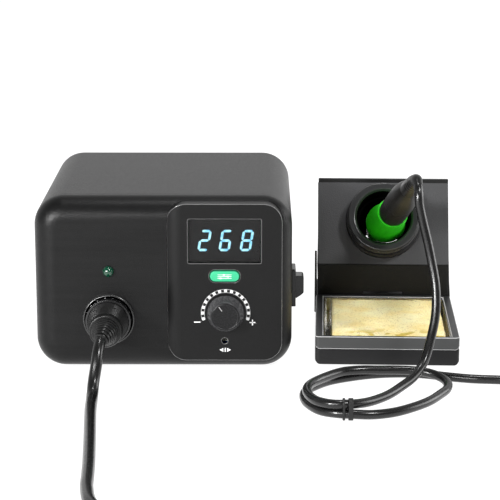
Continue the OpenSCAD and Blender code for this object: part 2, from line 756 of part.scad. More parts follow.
// Upright riser with a foot flange, and the leaning plate with its top lip
module holder_plate() {
    color([0.28, 0.28, 0.28]) at_stand() difference() {
        union() {
            block([-plate_w / 2, 0, base_top], [plate_w / 2, plate_t, riser_top]);
            block([-plate_w / 2, plate_t - SLOP, base_top], [plate_w / 2, 18, base_top + 1.6]);
            translate([0, 0, riser_top]) rotate([-plate_lean, 0, 0])
                block([-plate_w / 2, 0, -0.6], [plate_w / 2, plate_t, plate_len]);
            translate([0, plate_len * sin(plate_lean), riser_top + plate_len * cos(plate_lean) - 1])
                block([-plate_w / 2, 0, 0], [plate_w / 2, plate_t, 3]);
        }
        block([-11.5, -1, rim_top + 0.6], [11.5, plate_t + 1, rim_top + 1.8]);
        at_ring() translate([0, 0, -10]) cylinder(r = 16, h = 20);
        at_ring() for (a = RING_HOLES) rotate(a) translate([18.4, 0, -10]) cylinder(r = 1.6, h = 20);
        for (x = [-28, 28]) translate([x, 10, base_top - 1]) cylinder(r = 1.8, h = 6);
    }
}

RING_HOLES = [30, 150, 270];

// Frame of the ring: origin on the plate's front face, +Z out along the holder's axis
module at_ring() {
    translate([0, 0, riser_top]) rotate([-plate_lean, 0, 0]) translate([0, 0, ring_s])
        rotate([90, 0, 0]) children();
}

module plate_screws() {
    color([0.6, 0.6, 0.62]) at_stand() {
        for (x = [-28, 28]) translate([x, 10, base_top + 1.6]) rotate([180, 0, 0]) screw(1.5, 8, 2.9, 1.6);
        at_ring() for (a = RING_HOLES) rotate(a)
            translate([18.4, 0, -plate_t]) screw(1.4, plate_t + 6, 2.4, 1.4);
    }
}

module holder_ring() {
    r = collar_d / 2;
    color([0.16, 0.16, 0.16]) at_stand() at_ring() difference() {
        rotate_extrude() polygon([[15.9, 0], [r + 1, 0], [r + 1, 3.4], [r + 0.3, 4.4],
            [r + 0.3, collar_h - 3], [r - 0.4, collar_h - 2.4], [r - 0.1, collar_h - 1.2],
            [r - 1, collar_h], [17, collar_h], [15.9, collar_h - 1.2]]);
        for (a = RING_HOLES) rotate(a) translate([18.4, 0, -1]) cylinder(r = 1.5, h = 8);
    }
}

module guard_tube() {
    color([0.6, 0.6, 0.6]) at_stand() at_ring() difference() {
        translate([0, 0, -plate_t - guard_l]) cylinder(r = 15.4, h = guard_l + plate_t);
        translate([0, 0, -plate_t - guard_l - 1]) cylinder(r = 14.2, h = guard_l + plate_t + 2);
        for (row = [1 : 4], k = [0 : 2]) rotate(60 * k + 30 * row) translate([0, 0, -15 * row])
            rotate([0, 90, 0]) cylinder(r = 3, h = 40, center = true);
    }
}

module sponge_tray() {
    w = stand_w;
    back = -0.6;
    middle = (back - tray_len - 0.8) / 2;
    color([0.33, 0.33, 0.37]) at_stand() difference() {
        union() {
            intersection() {
                translate([0, middle, base_top + SLOP]) linear_extrude(rim_top - base_top - SLOP)
                    round_rect(w, back + tray_len + 0.8, 2.5);
                round_bottom(w, base_top + SLOP, rim_top + 5, 2.4);
            }
            block([3.4 - w / 2, 0.9 - tray_len, foot_h + 3.5], [w / 2 - 3.4, -2.4, base_top + 1]);
        }
        block([4.3 - w / 2, 1.8 - tray_len, foot_h + 5.5], [w / 2 - 4.3, -4.6, rim_top + 1]);
    }
}

module tray_liner() {
    w = stand_w - 8.8;
    back = -4.7;
    front = 1.9 - tray_len;
    z = foot_h + 5.6;
    color([0.8, 0.8, 0.78]) at_stand() translate([0, (back + front) / 2, z]) difference() {
        linear_extrude(rim_top - 0.7 - z) round_rect(w, back - front, 4);
        translate([0, 0, 0.6]) linear_extrude(20) round_rect(w - 1.2, back - front - 1.2, 3.4);
    }
}

module sponge() {
    color([0.95, 0.88, 0.6]) at_stand() block([-30, 3.2 - tray_len, foot_h + 6.4], [32.2, -5.9, rim_top - 0.9]);
}

// ---------------------------------------------------------------- iron

module at_iron() {
    translate(iron_at) rotate([0, 0, iron_swing]) rotate([90 - iron_rise, 0, 0]) children();
}

module grip_sleeve() {
    r = flange_d / 2;
    color([0.15, 0.6, 0.12]) at_iron() rotate_extrude() polygon([[6.6, -24], [8, -24], [8.4, -22],
        [8.2, -8], [8.8, -6], [r - 0.7, -4], [r, -2.4], [r, -0.6], [r - 0.5, 2.4], [r - 1.4, 8],
        [r - 2, 15], [handle_d / 2 + 0.9, 27.4], [handle_d / 2 + 0.5, 28], [6.6, 28]]);
}

module iron_handle() {
    r = handle_d / 2;
    color([0.12, 0.11, 0.1]) at_iron() rotate_extrude() polygon([[4, -24], [6.5, -24], [6.5, 28.2],
        [r, 28.2], [r + 0.2, 40], [r + 0.2, 55], [4, 55]]);
}

module handle_cap() {
    r = handle_d / 2;
    end = handle_l;
    color([0.11, 0.1, 0.1]) at_iron() rotate_extrude() polygon([[0, 55.2], [r + 0.1, 55.2],
        [r - 0.1, end - 20], [r - 0.9, end - 10], [r - 2, end - 4], [5, end - 0.2], [0, end - 0.2]]);
}

module barrel_nut() {
    color([0.75, 0.75, 0.76]) at_iron() rotate_extrude() polygon([[3.4, -30], [6.2, -30], [7.8, -28.4],
        [7.8, -24.2], [3.4, -24.2]]);
}

module iron_barrel() {
    color([0.8, 0.8, 0.8]) at_iron() rotate_extrude() polygon([[2.6, -57], [3.3, -57], [3.3, -10],
        [2.6, -10]]);
}

module heater() {
    color([0.95, 0.95, 0.92]) at_iron() translate([0, 0, -54]) cylinder(r = 1.9, h = 50);
}

module iron_tip() {
    color([0.7, 0.6, 0.5]) at_iron() rotate_extrude() polygon([[1.95, -50], [2.55, -50], [2.55, -57.1],
        [3.2, -57.1], [3.2, -59], [0.5, -58 - tip_l], [0, -58.2 - tip_l], [0, -55], [1.95, -55]]);
}

module iron_boot() {
    color([0.08, 0.08, 0.08]) swept(BOOT, BOOT_R, 16, [1, 0, 0]);
}

// ---------------------------------------------------------------- lead

module cord_drop() {
    color([0.05, 0.05, 0.05]) swept(DROP, [for (p = DROP) cord_d / 2], 10, [1, 0, 0]);
}

// Radii along the run: thicker from the point where it turns back towards the plug
function lead_radii() = [for (i = [0 : len(RUN) - 1])
    i < thick_from ? cord_d / 2 : min(cord_plug_d / 2, RUN[i].z)];

module cord_run() {
    color([0.05, 0.05, 0.05]) swept(RUN, lead_radii(), 8, [0, 0, 1]);
}

// Two turns of a wire tie round the stacked strands
module cord_tie() {
    color([0.12, 0.12, 0.12]) translate(TIE_AT) for (band = [[-1.9, 1.2], [1.6, 2.4]])
        translate([band.x, 0, 0]) rotate([90, 0, 90]) linear_extrude(band.y, center = true) difference() {
            round_rect(cord_d + 2, 2 * cord_d + 1.6, 3);
            round_rect(cord_d + 0.5, 2 * cord_d + 0.3, 2.4);
        }
}

front_shell();
upper_shell();
lower_shell();
rear_panel();
station_feet();
shell_screws();
control_panel();
display_lens();
display_module();
display_segments();
control_board();
board_screws();
set_button();
switch_plunger();
set_switch();
temp_knob();
knob_shaft();
potentiometer();
cal_trimmer();
cal_rotor();
led_lens();
led_holder();
socket_ring();
socket_shell();
plug_ring();
plug_body();
plug_boot();
switch_housing();
switch_rocker();
switch_terminals();
mains_inlet();
inlet_pins();
transformer_core();
transformer_winding();
transformer_bracket();
power_board();
board_parts();
heatsink();
fuse();
ribbon_cable();
stand_base();
stand_feet();
holder_plate();
plate_screws();
holder_ring();
guard_tube();
sponge_tray();
tray_liner();
sponge();
iron_tip();
barrel_nut();
iron_barrel();
heater();
grip_sleeve();
iron_handle();
handle_cap();
iron_boot();
cord_drop();
cord_run();
cord_tie();
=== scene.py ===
"""Soldering station: camera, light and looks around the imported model. Metres, Z up."""

import json
import math

import bmesh
import bpy
from mathutils import Matrix, Vector, noise


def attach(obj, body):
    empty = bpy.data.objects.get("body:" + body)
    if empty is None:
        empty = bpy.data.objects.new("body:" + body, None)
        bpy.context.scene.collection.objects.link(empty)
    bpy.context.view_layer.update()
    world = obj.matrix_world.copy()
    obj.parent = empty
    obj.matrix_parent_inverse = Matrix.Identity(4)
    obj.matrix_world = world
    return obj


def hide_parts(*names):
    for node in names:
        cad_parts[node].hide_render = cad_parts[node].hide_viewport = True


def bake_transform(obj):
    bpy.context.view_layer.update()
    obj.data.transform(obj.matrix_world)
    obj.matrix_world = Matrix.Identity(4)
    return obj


MM = 0.001
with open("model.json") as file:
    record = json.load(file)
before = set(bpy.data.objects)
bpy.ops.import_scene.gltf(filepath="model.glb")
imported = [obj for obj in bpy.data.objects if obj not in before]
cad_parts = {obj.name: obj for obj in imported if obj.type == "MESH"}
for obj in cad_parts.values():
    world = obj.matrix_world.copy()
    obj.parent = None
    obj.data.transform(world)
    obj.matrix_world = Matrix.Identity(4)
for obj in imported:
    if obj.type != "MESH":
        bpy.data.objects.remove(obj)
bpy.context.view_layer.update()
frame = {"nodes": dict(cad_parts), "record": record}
scene = bpy.context.scene
NODES = frame["nodes"]

# ---------------------------------------------------------------- camera

CAMERA_AT = (0.0511, -1.04955, 0.3009)
CAMERA_DOWN, CAMERA_LEFT = 13.35, 0.27
cam_data = bpy.data.cameras.new("camera")
cam_data.sensor_width = 36
cam_data.lens = 136.8
cam = bpy.data.objects.new("camera", cam_data)
scene.collection.objects.link(cam)
cam.location = CAMERA_AT
cam.rotation_euler = (math.radians(90 - CAMERA_DOWN), 0, math.radians(CAMERA_LEFT))
scene.camera = cam

# ---------------------------------------------------------------- the lead's route, in millimetres

BOOT = [(132.5, -42.6, 95.9), (133.3, -52, 100.1), (134, -60, 103.6), (134.3, -65.5, 105),
        (134.7, -70.6, 103.2), (135, -73.4, 99), (135.3, -74.4, 94)]
BOOT_R = [5, 4.7, 4.2, 3.4, 2.5]
DROP = [(135.3, -74.4, 94), (137.2, -75.4, 85.2), (139.6, -77.2, 75.5), (142, -80, 64),
        (144, -84, 51.5), (143.8, -88.4, 38.5), (141.2, -93, 26.5), (137.4, -99, 16),
        (131.5, -107.4, 10), (124, -117, 7.4)]
RUN = [(124, -117, 7.4), (117, -127, 6.4), (109, -136.5, 6.4), (102, -143.5, 7.2),
       (95, -147.8, 8.1), (87.5, -147.2, 8), (80.5, -141, 7.6), (76.6, -131, 7.4),
       (75.8, -120, 7.3), (78.6, -110, 7.2), (85.5, -98.8, 6.9), (95, -88.5, 6.8),
       (105, -84.4, 6.6), (115, -83.4, 6.3), (125, -83, 6.2), (134, -83.8, 6),
       (141.5, -86.4, 5.5), (147.2, -91.2, 4.6), (150, -98, 3.5), (149, -105, 2.6),
       (145, -113, 2.4), (138, -125, 2.4), (129, -135, 2.4), (119, -143, 2.4),
       (108, -147.8, 2.7), (98, -148.5, 3.2), (90, -146.8, 3.1), (82, -140.5, 2.5),
       (76.2, -129, 2.4), (74.4, -118, 2.4), (75.6, -108, 2.4), (80.4, -99.6, 2.4),
       (88.5, -90.2, 2.4), (100, -83.2, 2.4), (112, -78.4, 2.4), (125, -76.4, 2.4),
       (138, -77.6, 2.4), (152, -82.8, 2.4), (165, -86.6, 2.4), (180, -88.4, 2.4),
       (198, -92, 2.4), (214, -100, 2.4), (226, -113, 2.4), (233, -130, 2.4),
       (234, -150, 2.4), (230, -172, 2.4), (221, -194, 2.4), (208, -216, 2.4),
       (193, -238, 2.4), (175, -259, 2.4), (154, -277, 2.4), (130, -290, 2.4),
       (104, -298, 2.4), (77, -302, 2.4), (50, -303, 2.4), (24, -301.3, 2.6),
       (3, -296.5, 2.8), (-12.5, -286.5, 3.05), (-21.6, -272, 3.05), (-25.1, -254, 3.05),
       (-26.2, -237, 3.05), (-27.2, -220, 3.05), (-29.4, -190, 3.05), (-31.6, -162, 3.05),
       (-33.1, -142, 3.05), (-33.7, -129, 3.3), (-33.8, -122, 5.2), (-33.6, -117.2, 9.4),
       (-32.9, -114.4, 14.2), (-32.2, -112.4, 19), (-31.8, -110, 23), (-31.3, -107, 26),
       (-30.9, -103.4, 28.2), (-30.2, -100, 29.4)]
CORD_D, PLUG_END_D = 4.8, 6.1

# ---------------------------------------------------------------- materials


RANGE = ("From Min", "From Max", "To Min", "To Max")


class Nodes:
    """A material's node tree, with short calls to add and join nodes."""

    def __init__(self, name):
        self.material = bpy.data.materials.new(name)
        self.material.use_nodes = True
        self.tree = self.material.node_tree
        self.shader = self.tree.nodes["Principled BSDF"]
        self.coord = self.add("ShaderNodeTexCoord")

    def add(self, kind, **values):
        node = self.tree.nodes.new(kind)
        for key, value in values.items():
            setattr(node, key, value)
        return node

    def join(self, a, b):
        self.tree.links.new(a, b)

    def mapped(self, scale):
        m = self.add("ShaderNodeMapping")
        m.inputs["Scale"].default_value = scale
        self.join(self.coord.outputs["Object"], m.inputs["Vector"])
        return m.outputs["Vector"]

    def noise(self, scale, detail=2.0, rough=0.5, stretch=None):
        n = self.add("ShaderNodeTexNoise")
        n.inputs["Scale"].default_value = scale
        n.inputs["Detail"].default_value = detail
        n.inputs["Roughness"].default_value = rough
        vector = self.mapped(stretch) if stretch else self.coord.outputs["Object"]
        self.join(vector, n.inputs["Vector"])
        return n.outputs["Fac"]

    def spread(self, value, low, high, out_low, out_high):
        m = self.add("ShaderNodeMapRange")
        for key, number in zip(RANGE, (low, high, out_low, out_high)):
            m.inputs[key].default_value = number
        self.join(value, m.inputs["Value"])
        return m.outputs["Result"]

    def blend(self, factor, a, b):
        m = self.add("ShaderNodeMix", data_type="RGBA")
        self.join(factor, m.inputs["Factor"])
        sockets = [s for s in m.inputs if s.type == "RGBA"]
        for socket, value in zip(sockets, (a, b)):
            if isinstance(value, (tuple, list)):
                socket.default_value = (*value, 1)
            else:
                self.join(value, socket)
        return [s for s in m.outputs if s.type == "RGBA"][0]

    def bump(self, height, distance, strength=1.0, below=None):
        b = self.add("ShaderNodeBump")
        b.inputs["Strength"].default_value = strength
        b.inputs["Distance"].default_value = distance
        self.join(height, b.inputs["Height"])
        if below is not None:
            self.join(below, b.inputs["Normal"])
        return b.outputs["Normal"]


def plain(name, colour, rough, metal=0.0, grain=2200, depth=0.00004, mottle=0.12, coat=0.0, spec=0.25,
          stretch=None, rough_swing=0.06, streaks=0.0):
    """Moulded, painted or brushed surface: fine grain in the normal, slow drift in colour and gloss,
    and where asked for, faint streaks from side to side."""
    n = Nodes(name)
    drift = n.noise(55, 3.0)
    dark = tuple(c * (1 - mottle) for c in colour)
    light = tuple(min(1, c * (1 + mottle)) for c in colour)
    n.join(n.blend(n.spread(drift, 0.3, 0.7, 0, 1), dark, light), n.shader.inputs["Base Color"])
    fine = n.noise(grain, 2.0, 0.6, stretch)
    gloss = n.spread(fine, 0.25, 0.75, rough - rough_swing, rough + rough_swing)
    n.join(gloss, n.shader.inputs["Roughness"])
    n.join(n.bump(fine, depth), n.shader.inputs["Normal"])
    n.shader.inputs["Metallic"].default_value = metal
    n.shader.inputs["Coat Weight"].default_value = coat
    n.shader.inputs["Coat Roughness"].default_value = 0.12
    n.shader.inputs["Specular IOR Level"].default_value = spec
    if streaks:
        lines = n.noise(420, 3.0, 0.6, (0.05, 1, 1))
        n.join(n.spread(lines, 0.3, 0.7, spec * (1 - streaks), spec * (1 + streaks)),
               n.shader.inputs["Specular IOR Level"])
    return n.material


BRUSHED = (1, 1, 0.04)
SURFACES = {
    "housing": dict(colour=(0.0035, 0.0035, 0.0036), rough=0.37, grain=1500, depth=0.0001, mottle=0.1,
                    spec=0.25, rough_swing=0.09, streaks=0.07),
    "panel": dict(colour=(0.003, 0.003, 0.0031), rough=0.36, grain=1900, depth=0.00006, mottle=0.06,
                  spec=0.25),
    "rubber_foot": dict(colour=(0.015, 0.015, 0.015), rough=0.75),
    "zinc_screw": dict(colour=(0.55, 0.55, 0.56), rough=0.32, metal=1),
    "black_plastic": dict(colour=(0.012, 0.012, 0.012), rough=0.5),
    "board": dict(colour=(0.02, 0.12, 0.05), rough=0.35, mottle=0.2),
    "mint_button": dict(colour=(0.045, 0.46, 0.23), rough=0.4, mottle=0.05, grain=900),
    "switch_metal": dict(colour=(0.7, 0.68, 0.62), rough=0.3, metal=1),
    "shaft_metal": dict(colour=(0.6, 0.6, 0.6), rough=0.3, metal=1, stretch=BRUSHED),
    "trimmer_blue": dict(colour=(0.02, 0.08, 0.35), rough=0.4),
    "trimmer_rotor": dict(colour=(0.7, 0.7, 0.62), rough=0.4),
    "socket_plastic": dict(colour=(0.008, 0.008, 0.0085), rough=0.25, coat=0.5, spec=0.5),
    "socket_metal": dict(colour=(0.35, 0.35, 0.36), rough=0.3, metal=1),
    "plug_rubber": dict(colour=(0.005, 0.005, 0.005), rough=0.33, spec=0.38, grain=1400, depth=0.00004),
    "rocker_gloss": dict(colour=(0.008, 0.008, 0.008), rough=0.3, coat=0.3),
    "core_steel": dict(colour=(0.18, 0.18, 0.2), rough=0.45, metal=1, grain=900, stretch=(1, 12, 1)),
    "copper_coil": dict(colour=(0.5, 0.2, 0.07), rough=0.35, metal=0.6, grain=1600, stretch=(1, 1, 8)),
    "bracket_steel": dict(colour=(0.55, 0.55, 0.57), rough=0.35, metal=1, stretch=BRUSHED),
    "components": dict(colour=(0.03, 0.03, 0.05), rough=0.4),
    "heatsink": dict(colour=(0.6, 0.6, 0.62), rough=0.35, metal=1, stretch=BRUSHED),
    "ribbon": dict(colour=(0.35, 0.35, 0.36), rough=0.5, grain=800, stretch=(6, 1, 1)),
    "stand_black": dict(colour=(0.009, 0.009, 0.0095), rough=0.48, grain=1700, depth=0.00005),
    "holder_plastic": dict(colour=(0.017, 0.017, 0.018), rough=0.36, grain=1900),
    # guard tube: black, and with no shine at all, so it also stands as painted shade in the hole behind the
    # ring
    "guard_steel": dict(colour=(0.002, 0.002, 0.002), rough=0.8, spec=0.0),
    "liner_metal": dict(colour=(0.75, 0.74, 0.7), rough=0.16, metal=1, stretch=BRUSHED, mottle=0.05),
    "tip_plating": dict(colour=(0.42, 0.33, 0.25), rough=0.28, metal=1, mottle=0.4),
    "barrel_steel": dict(colour=(0.7, 0.69, 0.67), rough=0.25, metal=1, stretch=BRUSHED),
    "heater_white": dict(colour=(0.8, 0.8, 0.76), rough=0.6),
    "grip_green": dict(colour=(0.02, 0.5, 0.008), rough=0.4, grain=1500, depth=0.00003, mottle=0.15),
    "handle_black": dict(colour=(0.008, 0.0075, 0.0068), rough=0.42, grain=1600),
    "cord_black": dict(colour=(0.005, 0.005, 0.005), rough=0.27, grain=2500, depth=0.000001, coat=0.2,
                       spec=0.42, rough_swing=0.02),
    "tie_black": dict(colour=(0.016, 0.016, 0.016), rough=0.4),
    # light grey for the bevels of the sponge tray: a painted highlight along its edges
    "tray_edge_painted_highlight": dict(colour=(0.5, 0.5, 0.5), rough=0.3, grain=2500),
    # near black with no shine for the sheet inside the ring's bore: painted shade
    "bore_painted_shade": dict(colour=(0.0015, 0.0015, 0.0015), rough=0.85, spec=0.0),
    # near black for the sheet on the plate's lip: painted shade
    "lip_painted_shade": dict(colour=(0.008, 0.008, 0.008), rough=0.4),
    # lighter, glossy looks for the bevels of the panel and, fainter, of the rings: painted highlights along
    # their edges
    "edge_painted_highlight": dict(colour=(0.16, 0.16, 0.16), rough=0.22, grain=2500, coat=1.0, spec=0.5),
    "edge_painted_faint_highlight": dict(colour=(0.03, 0.03, 0.03), rough=0.22, grain=2500, coat=0.3, spec=0.5),
    "print_white": dict(colour=(0.8, 0.8, 0.8), rough=0.5, mottle=0.06),
    "print_dark": dict(colour=(0.004, 0.004, 0.004), rough=0.5),
}
LOOKS = {name: plain(name, **values) for name, values in SURFACES.items()}


def painted_light_split(name, test, low, high, first, second, rough, grain, depth):
    """Two colours on one piece, told apart by height ("Z") or by how far a face looks "up" or "back":
    painted light and shade, one part lit and the other shaded.
    """
    n = Nodes(name)
    split = n.add("ShaderNodeSeparateXYZ")
    if test == "Z":
        n.join(n.coord.outputs["Object"], split.inputs["Vector"])
    else:
        n.join(n.add("ShaderNodeNewGeometry").outputs["True Normal"], split.inputs["Vector"])
    part = n.spread(split.outputs["Y" if test == "back" else "Z"], low, high, 0, 1)
    drift = n.spread(n.noise(55, 3.0), 0.3, 0.7, 0, 1)
    a = n.blend(drift, tuple(c * 0.95 for c in first), tuple(c * 1.05 for c in first))
    b = n.blend(drift, tuple(c * 0.95 for c in second), tuple(c * 1.05 for c in second))
    n.join(n.blend(part, a, b), n.shader.inputs["Base Color"])
    fine = n.noise(grain, 2.0, 0.6)
    n.join(n.spread(fine, 0.25, 0.75, rough - 0.05, rough + 0.05), n.shader.inputs["Roughness"])
    n.join(n.bump(fine, depth), n.shader.inputs["Normal"])
    n.shader.inputs["Specular IOR Level"].default_value = 0.25
    return n.material


def clear(name, colour, rough, alpha):
    """See-through moulding: a tinted film with a polished face."""
    n = Nodes(name)
    drift = n.noise(90, 1.0)
    n.join(n.blend(n.spread(drift, 0.3, 0.7, 0, 1), tuple(c * 0.85 for c in colour), colour),
           n.shader.inputs["Base Color"])
    n.join(n.spread(n.noise(500), 0.3, 0.7, rough * 0.8, rough * 1.2), n.shader.inputs["Roughness"])
    n.shader.inputs["Alpha"].default_value = alpha
    return n.material


def glowing(name, deep, pale, strength):
    """Lit segment, glowing in a drift between two shades of pale blue."""
    n = Nodes(name)
    drift = n.spread(n.noise(700, 1.0), 0.35, 0.65, 0, 1)
    glow = n.blend(drift, deep, pale)
    n.join(glow, n.shader.inputs["Base Color"])
    n.join(glow, n.shader.inputs["Emission Color"])
    n.shader.inputs["Emission Strength"].default_value = strength
    n.shader.inputs["Roughness"].default_value = 0.5
    return n.material


def sponge_look():
    """Cellulose sponge: pale yellow, open pores, brown specks and a few burnt stains near the front."""
    n = Nodes("sponge_yellow")
    wide = n.noise(70, 3.0)
    base = n.blend(n.spread(wide, 0.35, 0.65, 0, 1), (0.94, 0.76, 0.33), (0.98, 0.88, 0.5))
    specks = n.spread(n.noise(1500, 1.0), 0.62, 0.72, 0, 1)
    base = n.blend(specks, base, (0.42, 0.27, 0.1))
    split = n.add("ShaderNodeSeparateXYZ")
    n.join(n.coord.outputs["Object"], split.inputs["Vector"])
    near_front = n.spread(split.outputs["Y"], -0.036, -0.049, 0, 1)
    blots = n.spread(n.noise(130, 1.0, 0.4), 0.52, 0.6, 0, 1)
    stain = n.add("ShaderNodeMath", operation="MULTIPLY")
    n.join(near_front, stain.inputs[0])
    n.join(blots, stain.inputs[1])
    n.join(n.blend(stain.outputs["Value"], base, (0.62, 0.46, 0.08)), n.shader.inputs["Base Color"])
    pores = n.add("ShaderNodeTexVoronoi")
    pores.inputs["Scale"].default_value = 1100
    n.join(n.coord.outputs["Object"], pores.inputs["Vector"])
    coarse = n.bump(n.noise(420, 4.0, 0.7), 0.0006, 0.9)
    n.join(n.bump(pores.outputs["Distance"], 0.0003, 0.6, coarse), n.shader.inputs["Normal"])
    n.join(n.spread(n.noise(300), 0.3, 0.7, 0.85, 0.97), n.shader.inputs["Roughness"])
    n.shader.inputs["Subsurface Weight"].default_value = 0.15
    n.shader.inputs["Subsurface Radius"].default_value = (0.002, 0.0012, 0.0005)
    return n.material


# painted shade: the riser below the fold is near black and the plate above it a lighter grey, standing in
# for light from above on one painted sheet
LOOKS["plate_grey"] = painted_light_split("plate_grey", "Z", 0.0357, 0.0361, (0.0018, 0.0018, 0.0016),
                               (0.05, 0.05, 0.052), 0.5, 1500, 0.00016)
# painted light and shade: the sponge tray's walls are a lighter grey than its faces that look up, standing
# in for light on its front wall
LOOKS["tray_grey"] = painted_light_split("tray_grey", "up", 0.3, 0.6, (0.055, 0.056, 0.056),
                              (0.022, 0.022, 0.023), 0.36, 2000, 0.00004)
# painted light: the face that looks to the front is near black and the fluted skirt a lighter grey,
# standing in for light falling on the skirt
LOOKS["knob"] = painted_light_split("knob", "back", -0.9, -0.6, (0.007, 0.007, 0.0075),
                         (0.045, 0.045, 0.047), 0.27, 1800, 0.00003)
LOOKS["smoked_lens"] = clear("smoked_lens", (0.001, 0.001, 0.001), 0.06, 0.3)
LOOKS["fuse_glass"] = clear("fuse_glass", (0.8, 0.85, 0.85), 0.08, 0.4)
LOOKS["lit_digit"] = glowing("lit_digit", (0.2, 0.62, 0.95), (0.5, 0.9, 1.0), 1.7)
LOOKS["sponge_yellow"] = sponge_look()
led = Nodes("led_green")
led.join(led.blend(led.spread(led.noise(900, 1.0), 0.3, 0.7, 0, 1), (0.0, 0.04, 0.018), (0.0, 0.05, 0.024)),
         led.shader.inputs["Base Color"])
led.join(led.spread(led.noise(400), 0.3, 0.7, 0.05, 0.09), led.shader.inputs["Roughness"])
led.shader.inputs["Coat Weight"].default_value = 1
led.shader.inputs["Coat Roughness"].default_value = 0.03
LOOKS["led_green"] = led.material

SLOT_OF = {s["node"]: s["material_slot"] for s in frame["record"]["subparts"]}


def crisp(angle):
    """Node group that shades smooth across edges flatter than the angle, and sharp across the rest."""
    g = bpy.data.node_groups.new("crisp", "GeometryNodeTree")
    g.interface.new_socket("Geometry", in_out="INPUT", socket_type="NodeSocketGeometry")
    g.interface.new_socket("Geometry", in_out="OUTPUT", socket_type="NodeSocketGeometry")
    first, last = g.nodes.new("NodeGroupInput"), g.nodes.new("NodeGroupOutput")
    edge = g.nodes.new("GeometryNodeInputMeshEdgeAngle")
    steep = g.nodes.new("FunctionNodeCompare")
    steep.data_type, steep.operation = "FLOAT", "GREATER_THAN"
    steep.inputs["B"].default_value = math.radians(angle)
    faces, edges = (g.nodes.new("GeometryNodeSetShadeSmooth") for _ in range(2))
    edges.domain = "EDGE"
    edges.inputs["Shade Smooth"].default_value = False
    g.links.new(first.outputs[0], faces.inputs["Geometry"])
    g.links.new(faces.outputs[0], edges.inputs["Geometry"])
    g.links.new(edge.outputs["Unsigned Angle"], steep.inputs["A"])
    g.links.new(steep.outputs["Result"], edges.inputs["Selection"])
    g.links.new(edges.outputs[0], last.inputs[0])
    return g


CRISP = crisp(32)


def rounded(obj, width):
    """Bevels the corners sharper than 40 degrees by width millimetres."""
    bevel = obj.modifiers.new("bevel", "BEVEL")
    bevel.width = width * MM
    bevel.segments = 2
    bevel.limit_method = "ANGLE"
    bevel.angle_limit = math.radians(40)
    return bevel


def soften(obj, width, highlight_look=None):
    """Joins the mesh's split edges, rounds its corners by width millimetres and shades it; a highlight
    look, where given, goes on the bevels as a painted highlight.
    """
    for name in ("custom_normal", "sharp_face", "sharp_edge"):
        found = obj.data.attributes.get(name)
        if found:
            obj.data.attributes.remove(found)
    weld = obj.modifiers.new("weld", "WELD")
    weld.merge_threshold = 2e-6
    if width:
        flat = obj.modifiers.new("flat", "DECIMATE")
        flat.decimate_type = "DISSOLVE"
        flat.angle_limit = math.radians(1)
        bevel = rounded(obj, width)
        bevel.use_clamp_overlap = False
        # the bevel faces take the lighter look: a painted highlight
        if highlight_look:
            obj.data.materials.append(LOOKS[highlight_look])
            bevel.material = 1
    shade = obj.modifiers.new("shade", "NODES")
    shade.node_group = CRISP
    if width:
        obj.modifiers.new("level", "WEIGHTED_NORMAL").keep_sharp = True


# widths of the rounded corners, in millimetres; the rest have OTHER_EDGES
OTHER_EDGES = 0.1
EDGES = {
    "front_shell": 0.0, "upper_shell": 0.0, "lower_shell": 0.0, "control_panel": 0.22,
    "socket_ring": 0.3, "switch_housing": 0.3, "switch_rocker": 0.5, "stand_base": 0.4,
    "holder_plate": 0.35, "holder_ring": 0.4, "sponge_tray": 0.35, "tray_liner": 0.2,
    "set_button": 0.25, "display_lens": 0.15, "mains_inlet": 0.4, "rear_panel": 0.2,
    "station_feet": 0.4, "stand_feet": 0.4, "cord_tie": 0.2, "plug_ring": 0.2, "guard_tube": 0.15,
    "transformer_core": 0.6, "transformer_winding": 0.8, "transformer_bracket": 0.3,
    "heatsink": 0.3, "board_parts": 0.4, "power_board": 0.15, "control_board": 0.15,
}
# pieces whose bevels take a lighter look: painted highlights along their edges
EDGE_HIGHLIGHTS = {"control_panel": "edge_painted_highlight", "sponge_tray": "tray_edge_painted_highlight", "holder_ring": "edge_painted_faint_highlight",
              "socket_ring": "edge_painted_faint_highlight"}
for name, node in NODES.items():
    node.data.materials.clear()
    node.data.materials.append(LOOKS[SLOT_OF[name]])
    soften(node, EDGES.get(name, OTHER_EDGES), EDGE_HIGHLIGHTS.get(name))

# ---------------------------------------------------------------- mesh helpers


def made(name, bm, look, body, replaces=(), smooth=True, bevel=0.0):
    """Turns a bmesh in the row frame into a piece that rides on a body."""
    bmesh.ops.recalc_face_normals(bm, faces=bm.faces)
    mesh = bpy.data.meshes.new(name)
    bm.to_mesh(mesh)
    bm.free()
    obj = bpy.data.objects.new(name, mesh)
    scene.collection.objects.link(obj)
    mesh.materials.append(LOOKS[look])
    if bevel:
        rounded(obj, bevel)
    if smooth:
        obj.modifiers.new("shade", "NODES").node_group = CRISP
    if body:
        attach(obj, body)
    if replaces:
        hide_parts(*replaces)
    return obj


def skin(bm, rings, caps=True):
    """Joins rings of vertices, each to the next, and closes the ends with caps."""
    count = len(rings[0])
    for a, b in zip(rings, rings[1:]):
        for k in range(count):
            m = (k + 1) % count
            bm.faces.new((a[k], a[m], b[m], b[k]))
    if caps:
        bm.faces.new(rings[0][::-1])
        bm.faces.new(rings[-1])


def lathe(bm, place, profile, steps=96, shape=None, caps=True):
    """Turned solid: profile points are (radius, height) in millimetres; shape(angle, radius, height)
    may change a point's radius."""
    rings = []
    for r, h in profile:
        ring = []
        for k in range(steps):
            a = 2 * math.pi * k / steps
            rr = shape(a, r, h) if shape else r
            ring.append(bm.verts.new(place @ (Vector((rr * math.cos(a), rr * math.sin(a), h)) * MM)))
        rings.append(ring)
    skin(bm, rings, caps)


